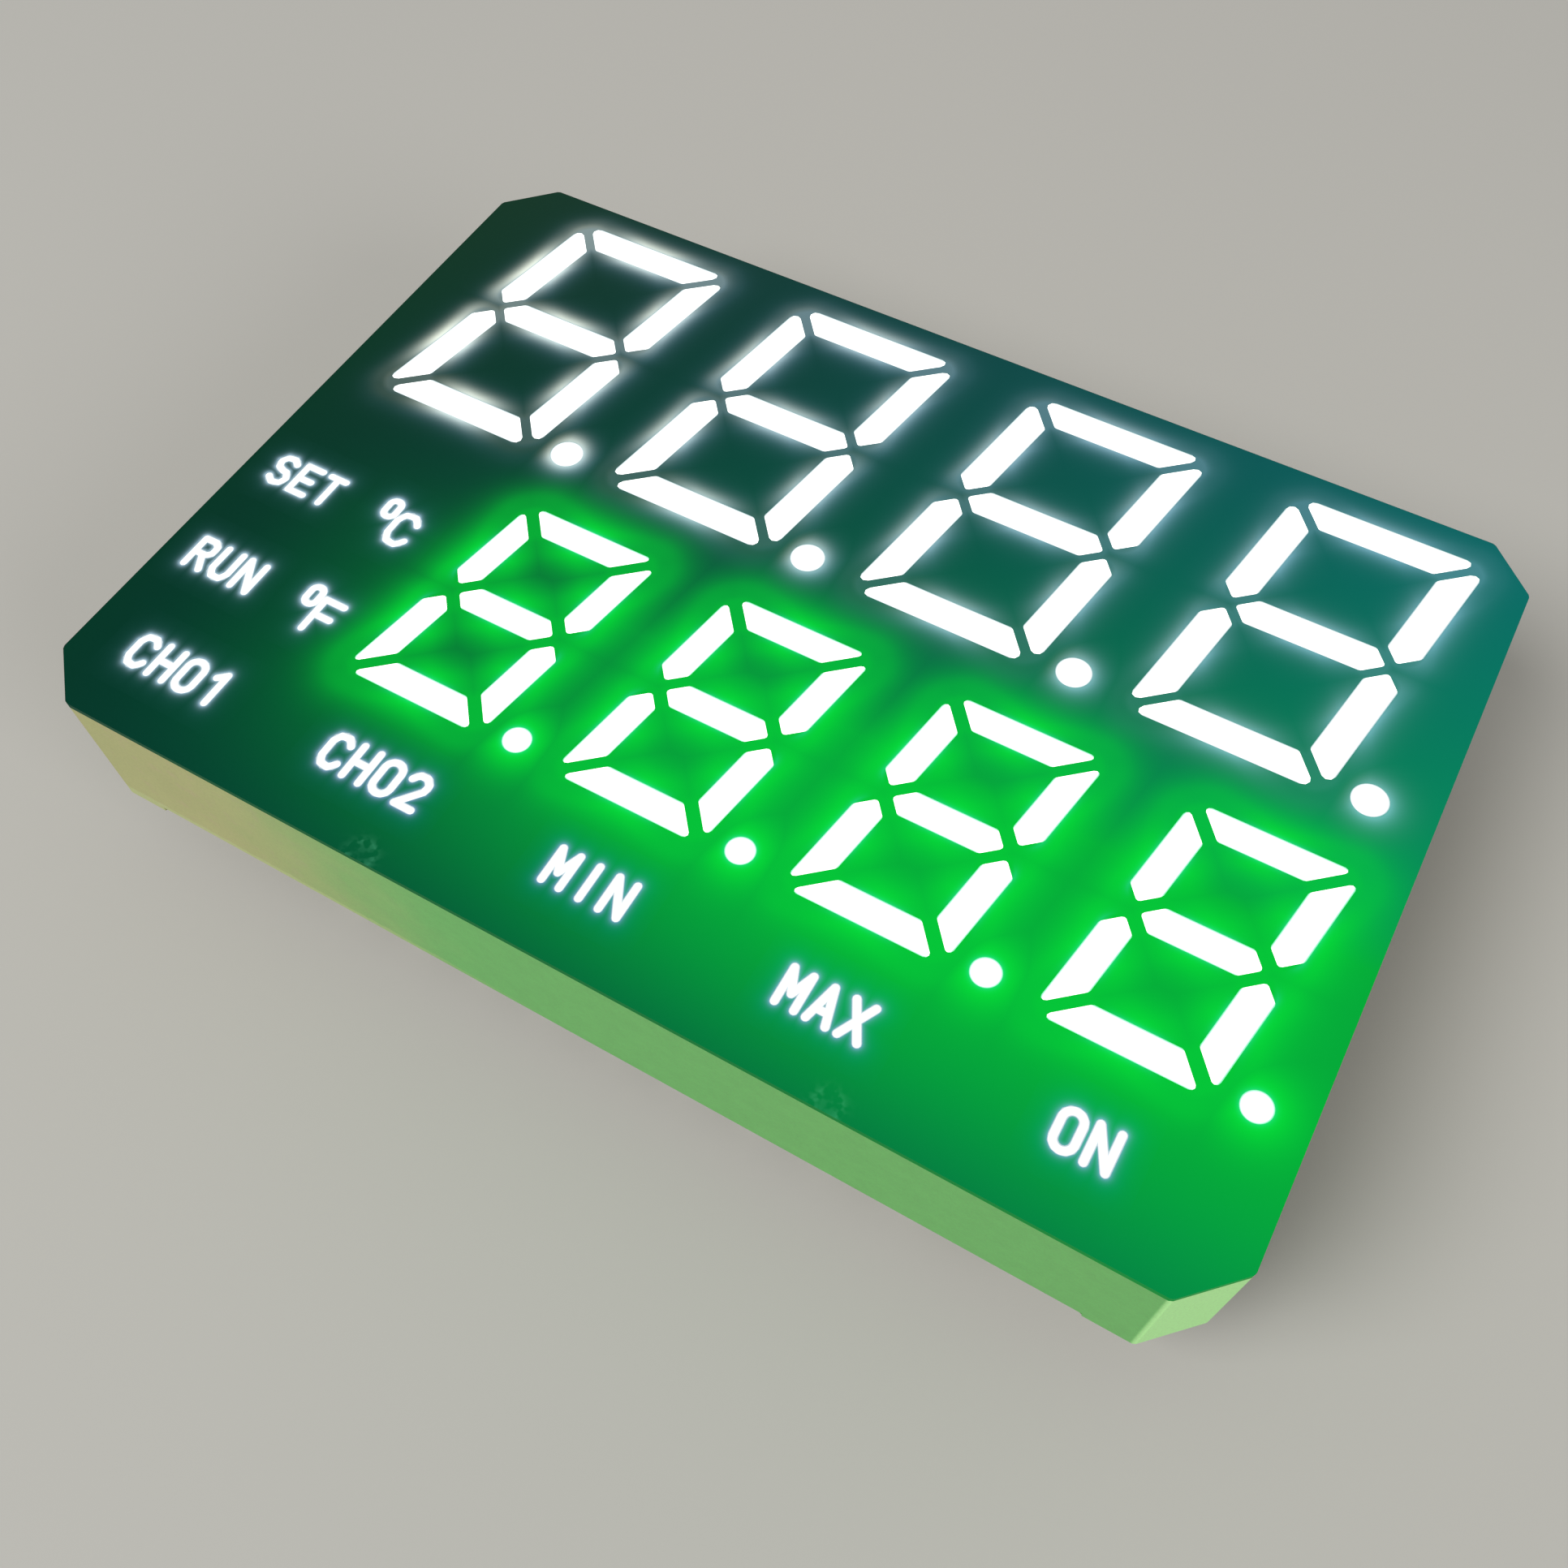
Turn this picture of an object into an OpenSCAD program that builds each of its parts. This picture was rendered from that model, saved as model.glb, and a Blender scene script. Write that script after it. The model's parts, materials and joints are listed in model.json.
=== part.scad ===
// Two-row LED display module: four tall digits over four short ones, with small
// lit legends, in a moulded reflector case under a dark front film.
// +X runs along the digits, +Y up the face, +Z out of the face.
// The origin is under the middle of the case, level with the pin tips.

/* [Case] */
// Height of the case from the soles of its feet to its front
case_h = 4.88; // [4.4:0.02:7]
// Leg of the 45 degree cut at each corner
corner_cut = 1.5; // [0.8:0.1:2]
// Radius of the case's upright edges
edge_r = 0.15; // [0.05:0.01:0.3]
// Wall around the board pocket
rim_t = 0.65; // [0.5:0.05:0.8]
// Height of the corner feet
foot_h = 0.2; // [0.1:0.05:0.4]
// Length of each foot past the corner cut
foot_len = 1.5; // [0.5:0.1:3]

/* [Film] */
// Thickness of the front film
film_t = 0.22; // [0.12:0.02:0.4]
// Distance that the light bars stop below the film's face
window_drop = 0.02; // [0.01:0.01:0.05]

/* [Face layout] */
// Case left of the tall digits, at half their height
tall_left = 2.52; // [2:0.02:4]
// Case right of the tall digits, at half their height
tall_right = 2.22; // [1.9:0.02:4]
// Case above the tall digits
top_edge = 1.01; // [0.9:0.01:2]
// Clear distance between the two rows of digits
row_gap = 1.93; // [1.2:0.01:4]
// Clear distance from the short digits to the bottom row of legends
legend_gap = 1.76; // [0.8:0.02:3]
// Case below the bottom row of legends
bottom_edge = 1.86; // [1.2:0.02:3]
// Case right of the short digits, at half their height
short_right = 1.88; // [1.7:0.02:4]
// Case left of the left words
word_left = 0.87; // [0.85:0.01:1.1]
// Case left of the unit signs
unit_left = 5.1; // [4.6:0.05:5.4]
// Case left of the bottom row of legends
bottom_left = 1.8; // [1.2:0.05:2.2]
// Height of the lower left word above the bottom row
lower_rise = 3.8; // [2.2:0.02:4]
// Height of the upper left word above the lower one
upper_rise = 3.98; // [2.4:0.02:5]

/* [Digits] */
// Lean of the digits to the right, in degrees
slant = 9.6; // [0:0.2:10]
// Height of the tall digits
tall_h = 10.16; // [9.4:0.02:10.4]
// Outer width of the tall digits
tall_w = 6.16; // [5.4:0.02:6.3]
// Spacing of the tall digits
tall_pitch = 9; // [8.6:0.1:9.1]
// Width of the tall digits' bars
tall_stroke = 1.06; // [0.8:0.02:1.2]
// Gap between the mitred ends of the tall digits' bars
tall_gap = 0.3; // [0.2:0.02:0.4]
// Diameter of the tall digits' points
tall_point_d = 1.1; // [0.8:0.05:1.2]
// Middle of the tall digits' points, right of the upright digit's side
tall_point_side = 0.34; // [0.2:0.02:0.5]
// Middle of the tall digits' points, above the digit's foot
tall_point_lift = 0.44; // [0.3:0.02:0.6]
// Height of the short digits
short_h = 8; // [7.4:0.02:8.2]
// Outer width of the short digits
short_w = 4.96; // [4.4:0.02:5]
// Spacing of the short digits
short_pitch = 7.5; // [7.1:0.1:7.6]
// Width of the short digits' bars
short_stroke = 0.96; // [0.7:0.02:1]
// Gap between the mitred ends of the short digits' bars
short_gap = 0.38; // [0.25:0.02:0.45]
// Diameter of the short digits' points
short_point_d = 0.9; // [0.7:0.05:1]
// Middle of the short digits' points, right of the upright digit's side
short_point_side = 0.43; // [0.3:0.02:0.6]
// Middle of the short digits' points, above the digit's foot
short_point_lift = 0.415; // [0.3:0.005:0.6]

/* [Legends] */
// Height of the legend letters
letter_h = 1.38; // [1.1:0.02:1.5]
// Width of the legend letters
letter_w = 0.86; // [0.7:0.02:0.9]
// Stroke of the legend letters
letter_stroke = 0.28; // [0.16:0.02:0.3]
// Spacing of the legend letters
letter_pitch = 0.93; // [0.92:0.01:1]
// Height of the letters of the two unit signs
unit_h = 1.5; // [1.2:0.02:1.6]
// Width of the letters of the two unit signs
unit_w = 0.98; // [0.8:0.02:1]
// Resin left around each word in its light cell
legend_margin = 0.15; // [0.08:0.01:0.2]
// Spacing of the words in the bottom row
legend_pitch = 7.36; // [7:0.02:7.5]

/* [Board] */
// Thickness of the circuit board
board_t = 1; // [0.6:0.1:1.2]
// Gap between the board's edge and the case, filled by the potting
board_gap = 0.05; // [0.02:0.01:0.1]
// Thickness of the potting behind the board
pot_t = 0.55; // [0.5:0.05:0.8]
// Depth of the potting's surface inside the rim
pot_drop = 0.1; // [0.05:0.05:0.3]
// Side of the square light-emitting dies
die_w = 0.3; // [0.2:0.02:0.4]
// Thickness of the dies
die_t = 0.12; // [0.08:0.02:0.2]

/* [Pins] */
// Pins in each of the two rows
pins_per_row = 9; // [4:1:13]
// Spacing of the pins
pin_pitch = 2.54; // [2:0.01:2.6]
// Distance from each row's middle line to the side of the case
row_inset = 1.62; // [1.2:0.01:4]
// Diameter of a pin
pin_d = 0.5; // [0.4:0.05:0.6]
// Length of the pins below the feet
pin_free = 3.5; // [2.5:0.1:6]
// Gap around a pin in its hole in the board, filled by solder
hole_gap = 0.05; // [0.02:0.01:0.1]
// Diameter of the solder on the board
solder_d = 1.2; // [1:0.05:1.4]
// Height of the solder on the board
solder_h = 0.42; // [0.3:0.02:0.44]

/* [Hidden] */
// The case is as large as what stands on its face
case_w = tall_left + 3 * tall_pitch + tall_w + tall_right;
case_d = top_edge + tall_h + row_gap + short_h + legend_gap + letter_h + bottom_edge;
row_spacing = case_d - 2 * row_inset;

// Middles of the first tall and the last short digit, and the places of the points
tall_first = [tall_left + (tall_w - case_w) / 2, (case_d - tall_h) / 2 - top_edge];
short_last = [(case_w - short_w) / 2 - short_right, tall_first[1] - (tall_h + short_h) / 2 - row_gap];
tall_point = [tall_w / 2 + tall_point_side, tall_point_lift - tall_h / 2];
short_point = [short_w / 2 + short_point_side, short_point_lift - short_h / 2];
tall_tip_r = 0.2;
short_tip_r = 0.12;
bar_r = 0.1;

// Legend rows, the left end of each column, and the parts of a unit sign about its middle
bottom_y = bottom_edge + (letter_h - case_d) / 2;
lower_y = bottom_y + lower_rise;
upper_y = lower_y + upper_rise;
word_x = word_left - case_w / 2;
unit_x = unit_left - case_w / 2;
bottom_x = bottom_left - case_w / 2;
ring_w = 0.68;
ring_h = 0.96;
ring_at = [-0.48, 0.4];
unit_at = [0.3, -0.16];

// How far the blunt end of the solder reaches past the pin, across its diameter
solder_lip = 0.2;

// Levels above the pin tips
sole_z = pin_free;
rim_z = sole_z + foot_h;
pot_z = rim_z + pot_drop;
board_z = pot_z + pot_t;
cell_z = board_z + board_t;
front_z = sole_z + case_h;
face_z = front_z + film_t;
bar_z = face_z - window_drop;

lean = tan(slant);
arc_step = 30;
cap_steps = 5;
$fn = 32;

// ---- Outlines -------------------------------------------------------------

// Points of the arc of radius r that rounds the corner b between a and c
function corner_arc(a, b, c, r) =
    let (u = (a - b) / norm(a - b), v = (c - b) / norm(c - b),
        half = acos(u * v) / 2,
        middle = b + (u + v) / norm(u + v) * r / sin(half),
        from = b + u * r / tan(half) - middle,
        turn = 180 - 2 * half,
        way = sign(u[0] * v[1] - u[1] * v[0]),
        steps = ceil(turn / (1.6 * arc_step)))
    [for (k = [0:steps]) let (t = -way * turn * k / steps)
        middle + [from[0] * cos(t) - from[1] * sin(t), from[0] * sin(t) + from[1] * cos(t)]];

// The outline p with every corner rounded, by radius r[i] at point i
function rounded(p, r) =
    let (n = len(p))
    [for (i = [0:n - 1]) each corner_arc(p[(i + n - 1) % n], p[i], p[(i + 1) % n], r[i])];

function mirrored(p, sx, sy) = [for (q = p) [sx * q[0], sy * q[1]]];
function leaning(p, at) = [for (q = p) at + [q[0] + lean * q[1], q[1]]];

// The case's eight-sided outline, drawn in by e on every side
function case_outline(e) =
    let (x = case_w / 2 - e, y = case_d / 2 - e, c = corner_cut - e * (2 - sqrt(2)))
    [[x - c, -y], [x, c - y], [x, y - c], [x - c, y],
        [c - x, y], [-x, y - c], [-x, c - y], [c - x, -y]];

module case_plan(e) {
    p = case_outline(e);
    polygon(rounded(p, [for (q = p) edge_r]));
}

// ---- Digits ---------------------------------------------------------------
// A digit's style: height, outer width, bar width, gap, tip radius, point, point diameter
tall_style = [tall_h, tall_w, tall_stroke, tall_gap, tall_tip_r, tall_point, tall_point_d];
short_style = [short_h, short_w, short_stroke, short_gap, short_tip_r, short_point, short_point_d];

function reach_x(style) = (style[1] - style[2]) / 2;
function reach_y(style) = (style[0] - style[2]) / 2;

// Upper bar, with a mitre at each end
function top_bar(style) =
    let (x = reach_x(style), y = reach_y(style), s = style[2] / 2, k = style[3] / sqrt(2))
    rounded([[k - x - s, y + s], [x - k + s, y + s], [x - k - s, y - s], [k - x + s, y - s]],
        [style[4], style[4], bar_r, bar_r]);

// Middle bar, pointed at each end
function middle_bar(style) =
    let (x = reach_x(style) - style[3] / sqrt(2), s = style[2] / 2)
    rounded([[-x, 0], [s - x, s], [x - s, s], [x, 0], [x - s, -s], [s - x, -s]],
        [for (i = [0:5]) bar_r]);

// Upper right bar, mitred at the top and pointed at the middle of the digit
function side_bar(style) =
    let (x = reach_x(style), y = reach_y(style), s = style[2] / 2, k = style[3] / sqrt(2))
    rounded([[x + s, k + s], [x + s, y - k + s], [x - s, y - k - s], [x - s, k + s], [x, k]],
        [bar_r, style[4], bar_r, bar_r, bar_r]);

function digit_bars(style) = [
    top_bar(style), mirrored(top_bar(style), 1, -1), middle_bar(style),
    side_bar(style), mirrored(side_bar(style), -1, 1),
    mirrored(side_bar(style), 1, -1), mirrored(side_bar(style), -1, -1)];

// Middles of the digits, counted from 1 at the left
function tall_at(i) = tall_first + [(i - 1) * tall_pitch, 0];
function short_at(i) = short_last + [(i - 4) * short_pitch, 0];

// The seven bars and the point of one digit, as prisms from z0 to z1
module digit_prisms(style, at, z0, z1) {
    for (bar = digit_bars(style))
        translate([0, 0, z0]) linear_extrude(z1 - z0) polygon(leaning(bar, at));
    translate([at[0] + style[5][0], at[1] + style[5][1], z0])
        cylinder(d = style[6], h = z1 - z0);
}

// Middles of the seven bars and the point, where the dies sit
function die_places(style, at) =
    let (x = reach_x(style), y = reach_y(style),
        bars = [[0, y], [0, 0], [0, -y], [x, y / 2], [x, -y / 2], [-x, y / 2], [-x, -y / 2]])
    concat(leaning(bars, at), [at + style[5]]);

module dies(places) {
    for (p = places)
        translate([p[0] - die_w / 2, p[1] - die_w / 2, cell_z]) cube([die_w, die_w, die_t]);
}

// Light bars of one digit: resin cast into the case's cells, over the dies
module digit(style, at) {
    color([0.93, 0.95, 0.95]) difference() {
        digit_prisms(style, at, cell_z, bar_z);
        dies(die_places(style, at));
    }
}

// ---- Letters --------------------------------------------------------------

function unit(v) = v / norm(v);
function left_of(v) = [-v[1], v[0]];

// Sideways step at point i of the path p, as long as the joint's mitre needs
function side_step(p, i) =
    let (last = len(p) - 1,
        a = left_of(unit(p[max(i, 1)] - p[max(i, 1) - 1])),
        b = left_of(unit(p[min(i, last - 1) + 1] - p[min(i, last - 1)])),
        m = unit(a + b))
    m / (m * b);

// Half round end of a stroke at c, which starts at the step s
function cap(c, s) = [for (k = [1:cap_steps - 1]) let (t = -180 * k / cap_steps)
    c + [s[0] * cos(t) - s[1] * sin(t), s[0] * sin(t) + s[1] * cos(t)]];

// Outline of a pen stroke of width t along the path p
function stroke(p, t) =
    let (last = len(p) - 1, steps = [for (i = [0:last]) side_step(p, i) * t / 2])
    concat([for (i = [0:last]) p[i] + steps[i]], cap(p[last], steps[last]),
        [for (i = [last:-1:0]) p[i] - steps[i]], cap(p[0], -steps[0]));

// Points of an arc about c with radii r, from angle a0 to a1
function arc(c, r, a0, a1) =
    let (n = ceil(abs(a1 - a0) / arc_step))
    [for (k = [0:n]) let (t = a0 + (a1 - a0) * k / n) c + [r[0] * cos(t), r[1] * sin(t)]];

// Half of an upright ring w wide and h high, on the side given by the sign
function half_ring(w, h, side) =
    let (r = w / 2)
    [for (q = concat(arc([0, h / 2 - r], [r, r], 90, 0), arc([0, r - h / 2], [r, r], 0, -90)))
        [side * q[0], q[1]]];

// Pen paths of a letter, about its middle; w and h are its centre-line width and height
function letter(c, w, h) =
    let (x = w / 2, y = h / 2)
    c == "O" || c == "0" ? [half_ring(w, h, 1), half_ring(w, h, -1)] :
    c == "C" ? [concat(arc([0, y - x], [x, x], 15, 180), arc([0, x - y], [x, x], 180, 345))] :
    c == "S" ? [concat(arc([0, y / 2], [x, y / 2], 25, 270), arc([0, -y / 2], [x, y / 2], 60, -155))] :
    c == "U" ? [concat([[-x, y]], arc([0, x - y], [x, x], 180, 360), [[x, y]])] :
    c == "E" ? [[[x, y], [-x, y], [-x, -y], [x, -y]], [[-x, 0], [0.7 * x, 0]]] :
    c == "F" ? [[[x, y], [-x, y], [-x, -y]], [[-x, 0], [0.7 * x, 0]]] :
    c == "T" ? [[[-x, y], [x, y]], [[0, y], [0, -y]]] :
    c == "H" ? [[[-x, y], [-x, -y]], [[x, y], [x, -y]], [[-x, 0], [x, 0]]] :
    c == "I" ? [[[0, y], [0, -y]]] :
    c == "1" ? [[[0.3 * x, y], [0.3 * x, -y]], [[0.3 * x, y], [-0.6 * x, 0.6 * y]]] :
    c == "2" ? [concat(arc([0, y - x], [x, x], 165, -30), [[-x, -y]]), [[-x, -y], [x, -y]]] :
    c == "N" ? [[[-x, -y], [-x, y]], [[-x, y], [x, -y]], [[x, -y], [x, y]]] :
    c == "M" ? [[[-x, -y], [-x, y]], [[-x, y], [0, -0.3 * y]], [[0, -0.3 * y], [x, y]], [[x, y], [x, -y]]] :
    c == "A" ? [[[-x, -y], [0, y]], [[0, y], [x, -y]], [[-0.65 * x, -0.35 * y], [0.65 * x, -0.35 * y]]] :
    c == "X" ? [[[-x, -y], [x, y]], [[-x, y], [x, -y]]] :
    [[[-x, -y], [-x, y]], [[0, 0], [x, -y]],
        concat([[-x, y]], arc([0.35 * x, y / 2], [0.65 * x, y / 2], 90, -90), [[-x, 0]])];

module pen_paths(paths, at, z0, z1) {
    for (path = paths)
        translate([at[0], at[1], z0]) linear_extrude(z1 - z0)
            polygon(stroke(path, letter_stroke));
}

module word_prisms(word, at, z0, z1) {
    for (i = [0:len(word) - 1])
        pen_paths(letter(word[i], letter_w - letter_stroke, letter_h - letter_stroke),
            at + [(i - (len(word) - 1) / 2) * letter_pitch, 0], z0, z1);
}

// Degree ring with its unit letter to the lower right
module unit_prisms(c, at, z0, z1) {
    w = ring_w - letter_stroke;
    h = ring_h - letter_stroke;
    pen_paths([half_ring(w, h, 1), half_ring(w, h, -1)], at + ring_at, z0, z1);
    pen_paths(letter(c, unit_w - letter_stroke, unit_h - letter_stroke), at + unit_at, z0, z1);
}

// ---- Legends --------------------------------------------------------------
function word_w(n) = (n - 1) * letter_pitch + letter_w;

// Lower right and upper left corners of a unit sign, from its middle
unit_corner = unit_at + [unit_w, -unit_h] / 2;
ring_corner = ring_at + [-ring_w, ring_h] / 2;

// Middle of a word of n letters that starts at x, and of the i-th word of the bottom row,
// whose middles are a pitch apart from the first one's
function word_at(n, x, y) = [x + word_w(n) / 2, y];
function bottom_at(i) = word_at(4, bottom_x, bottom_y) + [i * legend_pitch, 0];

// A legend: its word, its middle, and whether it is a unit sign
legends = [
    ["SET", word_at(3, word_x, upper_y), false],
    ["RUN", word_at(3, word_x, lower_y), false],
    ["C", [unit_x - ring_corner[0], upper_y], true],
    ["F", [unit_x - ring_corner[0], lower_y], true],
    ["CH01", bottom_at(0), false],
    ["CH02", bottom_at(1), false],
    ["MIN", bottom_at(2), false],
    ["MAX", bottom_at(3), false],
    ["ON", bottom_at(4), false]];

function legend_size(l) = l[2] ?
    [unit_corner[0] - ring_corner[0], ring_corner[1] - unit_corner[1]] :
    [word_w(len(l[0])), letter_h];

// Middle of a legend's light cell
function legend_middle(l) = l[2] ? l[1] + (unit_corner + ring_corner) / 2 : l[1];

module legend_letters(l, z0, z1) {
    if (l[2]) unit_prisms(l[0], l[1], z0, z1);
    else word_prisms(l[0], l[1], z0, z1);
}

// Light cell behind a legend
module legend_cell(l) {
    size = legend_size(l) + 2 * [legend_margin, legend_margin];
    x = size[0] / 2;
    y = size[1] / 2;
    m = legend_middle(l);
    translate([m[0], m[1], cell_z]) linear_extrude(front_z - cell_z)
        polygon(rounded([[-x, -y], [x, -y], [x, y], [-x, y]], [for (i = [0:3]) legend_margin]));
}

// Two dies behind a word, one behind a unit sign
function legend_dies_at(l) = l[2] ? [legend_middle(l)] :
    [for (s = [-1, 1]) l[1] + [s * legend_size(l)[0] / 4, 0]];

module legend(l) {
    color([0.93, 0.95, 0.95]) difference() {
        union() {
            legend_cell(l);
            legend_letters(l, front_z, bar_z);
        }
        dies(legend_dies_at(l));
    }
}

// ---- Pins -----------------------------------------------------------------

function pin_x(i) = (i - (pins_per_row - 1) / 2) * pin_pitch;

// A row of upright rods of diameter d between two levels, on the side given by the sign
module pin_rods(side, d, z0, z1) {
    for (i = [0:pins_per_row - 1])
        translate([pin_x(i), side * row_spacing / 2, z0]) cylinder(d = d, h = z1 - z0);
}

module pins(side) {
    color([0.8, 0.8, 0.78]) pin_rods(side, pin_d, 0, cell_z);
}

// Solder on the rear of the board, a blunt cone around each pin
module solder_cones(side) {
    for (i = [0:pins_per_row - 1])
        translate([pin_x(i), side * row_spacing / 2, board_z - solder_h])
            cylinder(d1 = pin_d + solder_lip, d2 = solder_d, h = solder_h);
}

module solder(side) {
    color([0.7, 0.71, 0.72]) difference() {
        union() {
            solder_cones(side);
            pin_rods(side, pin_d + 2 * hole_gap, board_z, cell_z);
        }
        pin_rods(side, pin_d, pot_z, cell_z + 1);
    }
}

// ---- Nodes ----------------------------------------------------------------

// Moulded reflector: cells through its front, a board pocket behind, four corner feet
module case() {
    color([0.8, 0.77, 0.6]) difference() {
        translate([0, 0, sole_z]) linear_extrude(case_h) case_plan(0);
        foot_gaps();
        translate([0, 0, sole_z - 1]) linear_extrude(cell_z - sole_z + 1) case_plan(rim_t);
        for (i = [1:4]) {
            digit_prisms(tall_style, tall_at(i), cell_z - 0.1, front_z + 1);
            digit_prisms(short_style, short_at(i), cell_z - 0.1, front_z + 1);
        }
        for (l = legends) legend_cell(l);
    }
}

// Relief between the feet, along both pairs of sides
module foot_gaps() {
    reach = corner_cut + foot_len;
    gap_x = case_w - 2 * reach;
    gap_y = case_d - 2 * reach;
    translate([-gap_x / 2, -case_d, sole_z - 1]) cube([gap_x, 2 * case_d, 1 + foot_h]);
    translate([-case_w, -gap_y / 2, sole_z - 1]) cube([2 * case_w, gap_y, 1 + foot_h]);
}

// Dark film over the whole front, with a window over each bar, point and letter
module face_film() {
    color([0.02, 0.1, 0.07]) difference() {
        translate([0, 0, front_z]) linear_extrude(film_t) case_plan(0);
        for (i = [1:4]) {
            digit_prisms(tall_style, tall_at(i), front_z - 1, face_z + 1);
            digit_prisms(short_style, short_at(i), front_z - 1, face_z + 1);
        }
        for (l = legends) legend_letters(l, front_z - 1, face_z + 1);
    }
}

module white_dies() {
    color([0.95, 0.85, 0.3]) dies([for (i = [1:4]) each die_places(tall_style, tall_at(i))]);
}

module green_dies() {
    color([0.3, 0.8, 0.4]) dies([for (i = [1:4]) each die_places(short_style, short_at(i))]);
}

module legend_dies() {
    color([0.95, 0.85, 0.3]) dies([for (l = legends) each legend_dies_at(l)]);
}

// Board that carries the dies and the pins
module circuit_board() {
    color([0.1, 0.4, 0.25]) difference() {
        translate([0, 0, board_z]) linear_extrude(board_t) case_plan(rim_t + board_gap);
        for (side = [-1, 1]) pin_rods(side, pin_d + 2 * hole_gap, board_z - 1, cell_z + 1);
    }
}

// Resin behind and around the board
module potting() {
    color([0.78, 0.76, 0.66]) difference() {
        translate([0, 0, pot_z]) linear_extrude(cell_z - pot_z) case_plan(rim_t);
        translate([0, 0, board_z]) linear_extrude(board_t + 1) case_plan(rim_t + board_gap);
        for (side = [-1, 1]) {
            solder_cones(side);
            pin_rods(side, pin_d, pot_z - 1, board_z + 1);
        }
    }
}

case();
face_film();
digit(tall_style, tall_at(1));  // tall_digit_1
digit(tall_style, tall_at(2));  // tall_digit_2
digit(tall_style, tall_at(3));  // tall_digit_3
digit(tall_style, tall_at(4));  // tall_digit_4
digit(short_style, short_at(1));  // short_digit_1
digit(short_style, short_at(2));  // short_digit_2
digit(short_style, short_at(3));  // short_digit_3
digit(short_style, short_at(4));  // short_digit_4
legend(legends[0]);  // legend_set
legend(legends[1]);  // legend_run
legend(legends[2]);  // legend_celsius
legend(legends[3]);  // legend_fahrenheit
legend(legends[4]);  // legend_ch1
legend(legends[5]);  // legend_ch2
legend(legends[6]);  // legend_min
legend(legends[7]);  // legend_max
legend(legends[8]);  // legend_on
white_dies();
green_dies();
legend_dies();
circuit_board();
potting();
pins(-1);  // front_pins
pins(1);  // rear_pins
solder(-1);  // front_solder
solder(1);  // rear_solder
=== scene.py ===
import json
import math

import bmesh
import bpy
from mathutils import Matrix, Vector, noise as unevenness


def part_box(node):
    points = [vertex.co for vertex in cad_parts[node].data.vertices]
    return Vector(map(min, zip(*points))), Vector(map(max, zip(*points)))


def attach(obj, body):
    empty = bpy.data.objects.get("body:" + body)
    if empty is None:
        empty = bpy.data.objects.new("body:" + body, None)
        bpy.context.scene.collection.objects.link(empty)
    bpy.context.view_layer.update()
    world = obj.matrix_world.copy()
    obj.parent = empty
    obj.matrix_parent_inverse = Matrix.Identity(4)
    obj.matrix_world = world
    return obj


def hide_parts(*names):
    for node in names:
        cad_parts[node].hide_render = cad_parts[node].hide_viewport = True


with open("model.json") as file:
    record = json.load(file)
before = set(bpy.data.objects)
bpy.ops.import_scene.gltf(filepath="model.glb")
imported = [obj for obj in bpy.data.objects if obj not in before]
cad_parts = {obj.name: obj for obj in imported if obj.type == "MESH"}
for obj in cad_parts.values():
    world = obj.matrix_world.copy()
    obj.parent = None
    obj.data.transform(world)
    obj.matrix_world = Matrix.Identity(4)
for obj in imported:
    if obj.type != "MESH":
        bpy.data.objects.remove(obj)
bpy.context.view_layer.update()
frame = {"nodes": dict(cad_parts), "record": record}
nodes = frame["nodes"]
mm = 0.001
lean = math.tan(math.radians(9.6))  # slant of the digits

# Arithmetic for materials: a Signal is one number that varies over a surface


class Signal:
    def __init__(self, tree, socket):
        self.tree = tree
        self.socket = socket

    def math(self, operation, *others):
        node = self.tree.nodes.new("ShaderNodeMath")
        node.operation = operation
        for slot, value in zip(node.inputs, (self, *others)):
            feed(self.tree, value, slot)
        return Signal(self.tree, node.outputs[0])

    def __add__(self, other):
        return self.math("ADD", other)

    def __sub__(self, other):
        return self.math("SUBTRACT", other)

    def __mul__(self, other):
        return self.math("MULTIPLY", other)

    def __truediv__(self, other):
        return self.math("DIVIDE", other)

    def __neg__(self):
        return self.math("MULTIPLY", -1.0)

    def __abs__(self):
        return self.math("ABSOLUTE")


def feed(tree, value, slot):
    if isinstance(value, Signal):
        tree.links.new(value.socket, slot)
    elif isinstance(value, bpy.types.NodeSocket):
        tree.links.new(value, slot)
    else:
        slot.default_value = value


def vector(tree, operation, *values):
    node = tree.nodes.new("ShaderNodeVectorMath")
    node.operation = operation
    for slot, value in zip(node.inputs, values):
        feed(tree, value, slot)
    return node


def smaller(first, *rest):
    for other in rest:
        first = first.math("MINIMUM", other)
    return first


def larger(first, *rest):
    for other in rest:
        first = first.math("MAXIMUM", other)
    return first


def hypot(x, y):
    return (x * x + y * y).math("SQRT")


def fade(distance, reach):  # 1 on the edge, falling off outside it
    return (larger(distance, 0.0) * (-1.0 / reach)).math("EXPONENT")


def roundFade(distance, reach, power):  # the same with a soft shoulder near the edge
    out = larger(distance, 0.0) * (1.0 / reach)
    return (-out.math("POWER", power)).math("EXPONENT")


def ramp(value, start, end):  # 0 below start, 1 above end
    node = value.tree.nodes.new("ShaderNodeMapRange")
    node.interpolation_type = "SMOOTHSTEP"
    feed(value.tree, value, node.inputs["Value"])
    node.inputs["From Min"].default_value = start
    node.inputs["From Max"].default_value = end
    return Signal(value.tree, node.outputs["Result"])


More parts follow.
